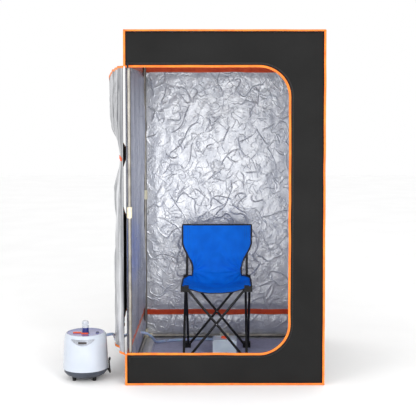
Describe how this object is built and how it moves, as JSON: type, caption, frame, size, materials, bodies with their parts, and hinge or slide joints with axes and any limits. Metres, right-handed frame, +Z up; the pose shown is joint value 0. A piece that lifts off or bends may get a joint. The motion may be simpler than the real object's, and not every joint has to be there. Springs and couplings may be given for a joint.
{
  "type": "portable steam sauna",
  "caption": "Free-standing fabric steam sauna cabin on a tube frame with a zipped door, folding chair, separate steam pot, hose and herb box.",
  "frame": {"origin": "middle of the cabin floor's underside, on the ground", "axes": "+Z up, +Y from the doorway to the back wall, +X to the right of someone facing the doorway"},
  "size_m": [1.3587, 1.0212, 1.8087],
  "materials": {
    "tube_steel": "satin",
    "joint_plastic": "moulded",
    "cover_fabric": "woven outside, silver film inside",
    "silver_film": "crinkled silver film",
    "orange_binding": "ribbed tape",
    "orange_band": "woven tape",
    "zip_tape": "woven tape and coil",
    "zip_metal": "enamelled",
    "mat_fabric": "felted",
    "chair_steel": "powder coated",
    "rivet_steel": "plain",
    "chair_plastic": "moulded",
    "chair_fabric": "woven polyester",
    "pot_white": "moulded",
    "pot_grey": "moulded",
    "black_plastic": "moulded",
    "bezel_silver": "metallic lacquer",
    "display_black": "smoked window",
    "tank_steel": "drawn",
    "heater_alloy": "cast",
    "board_green": "laminate",
    "lid_blue": "moulded",
    "gasket_rubber": "moulded",
    "accent_orange": "moulded",
    "valve_grey": "moulded",
    "neck_blue": "moulded",
    "cap_clear": "frosted",
    "hose_silicone": "translucent silicone",
    "box_white": "moulded"
  },
  "bodies": {
    "cabin": {"frame_uprights_lower": "tube_steel", "frame_uprights_upper": "tube_steel", "frame_upright_couplers": "joint_plastic", "frame_top_rails": "tube_steel", "frame_base_rails": "tube_steel", "frame_rail_couplers": "joint_plastic", "frame_top_corners": "joint_plastic", "frame_base_corners": "joint_plastic", "cover_front": "cover_fabric", "cover_back": "cover_fabric", "cover_left": "cover_fabric", "cover_right": "cover_fabric", "cover_roof": "cover_fabric", "cover_floor": "silver_film", "cover_piping": "orange_binding", "doorway_binding": "orange_binding", "inner_bands": "orange_band", "zip_tape": "zip_tape", "hose_sleeve": "silver_film", "floor_mat": "mat_fabric", "pot_feet": "black_plastic", "pot_base": "pot_grey", "pot_housing": "pot_white", "pot_bezel": "bezel_silver", "pot_display": "display_black", "pot_tank": "tank_steel", "pot_heater": "heater_alloy", "pot_thermostat": "black_plastic", "pot_circuit_board": "board_green", "pot_steam_elbow": "pot_white", "pot_inlet": "black_plastic", "pot_side_lever": "black_plastic", "steam_hose": "hose_silicone", "herb_box_base": "box_white"},
    "door": {"door_panel": "silver_film", "door_binding": "orange_binding", "door_tie": "orange_binding"},
    "slider_low": {"zip_slider_low": "zip_metal"},
    "pull_low": {"zip_pull_low": "zip_metal"},
    "slider_high": {"zip_slider_high": "zip_metal"},
    "pull_high": {"zip_pull_high": "zip_metal"},
    "chair": {"chair_front_bars": "chair_steel", "chair_rear_bars": "chair_steel", "chair_side_bars": "chair_steel", "chair_rivets": "rivet_steel", "chair_feet": "chair_plastic", "chair_hubs": "chair_plastic", "chair_posts": "chair_steel", "chair_post_caps": "chair_plastic", "chair_seat": "chair_fabric", "chair_back": "chair_fabric"},
    "pot_lid": {"lid_plate": "lid_blue", "lid_gasket": "gasket_rubber", "lid_tabs": "accent_orange", "lid_valve": "valve_grey", "steam_neck": "neck_blue"},
    "cap": {"steam_cap": "cap_clear"},
    "box_lid": {"herb_box_lid": "box_white"},
    "box_knob": {"herb_box_knob": "accent_orange"}
  },
  "joints": [
    {"name": "door_swing", "type": "hinge", "parent": "cabin", "child": "door", "pos_m": [-0.512, -0.506, 0.9], "axis": [0, 0, 1], "range_deg": [0, 263], "deforming": ["door_panel", "door_binding", "door_tie"]},
    {"name": "zip_low_slide", "type": "slide", "parent": "cabin", "child": "slider_low", "axis": [1, 0, 0], "range_m": [0, 0.66]},
    {"name": "zip_low_flip", "type": "hinge", "parent": "slider_low", "child": "pull_low", "pos_m": [-0.486, -0.5101, 0.1455], "axis": [1, 0, 0], "range_deg": [-150, 0]},
    {"name": "zip_high_slide", "type": "slide", "parent": "cabin", "child": "slider_high", "axis": [1, 0, 0], "range_m": [0, 0.66]},
    {"name": "zip_high_flip", "type": "hinge", "parent": "slider_high", "child": "pull_high", "pos_m": [-0.486, -0.5101, 1.6375], "axis": [1, 0, 0], "range_deg": [-150, 0]},
    {"name": "chair_lift", "type": "slide", "parent": "cabin", "child": "chair", "axis": [0, 0, 1], "range_m": [0, 0.4]},
    {"name": "lid_lift", "type": "slide", "parent": "cabin", "child": "pot_lid", "axis": [0, 0, 1], "range_m": [0, 0.15]},
    {"name": "cap_lift", "type": "slide", "parent": "pot_lid", "child": "cap", "axis": [0, 0, 1], "range_m": [0, 0.06]},
    {"name": "herb_lid_lift", "type": "slide", "parent": "cabin", "child": "box_lid", "axis": [0, 0, 1], "range_m": [0, 0.12]},
    {"name": "herb_knob_turn", "type": "hinge", "parent": "box_lid", "child": "box_knob", "pos_m": [0, 0.06, 0.1], "axis": [0, 0, 1], "range_deg": [0, 90]}
  ]
}
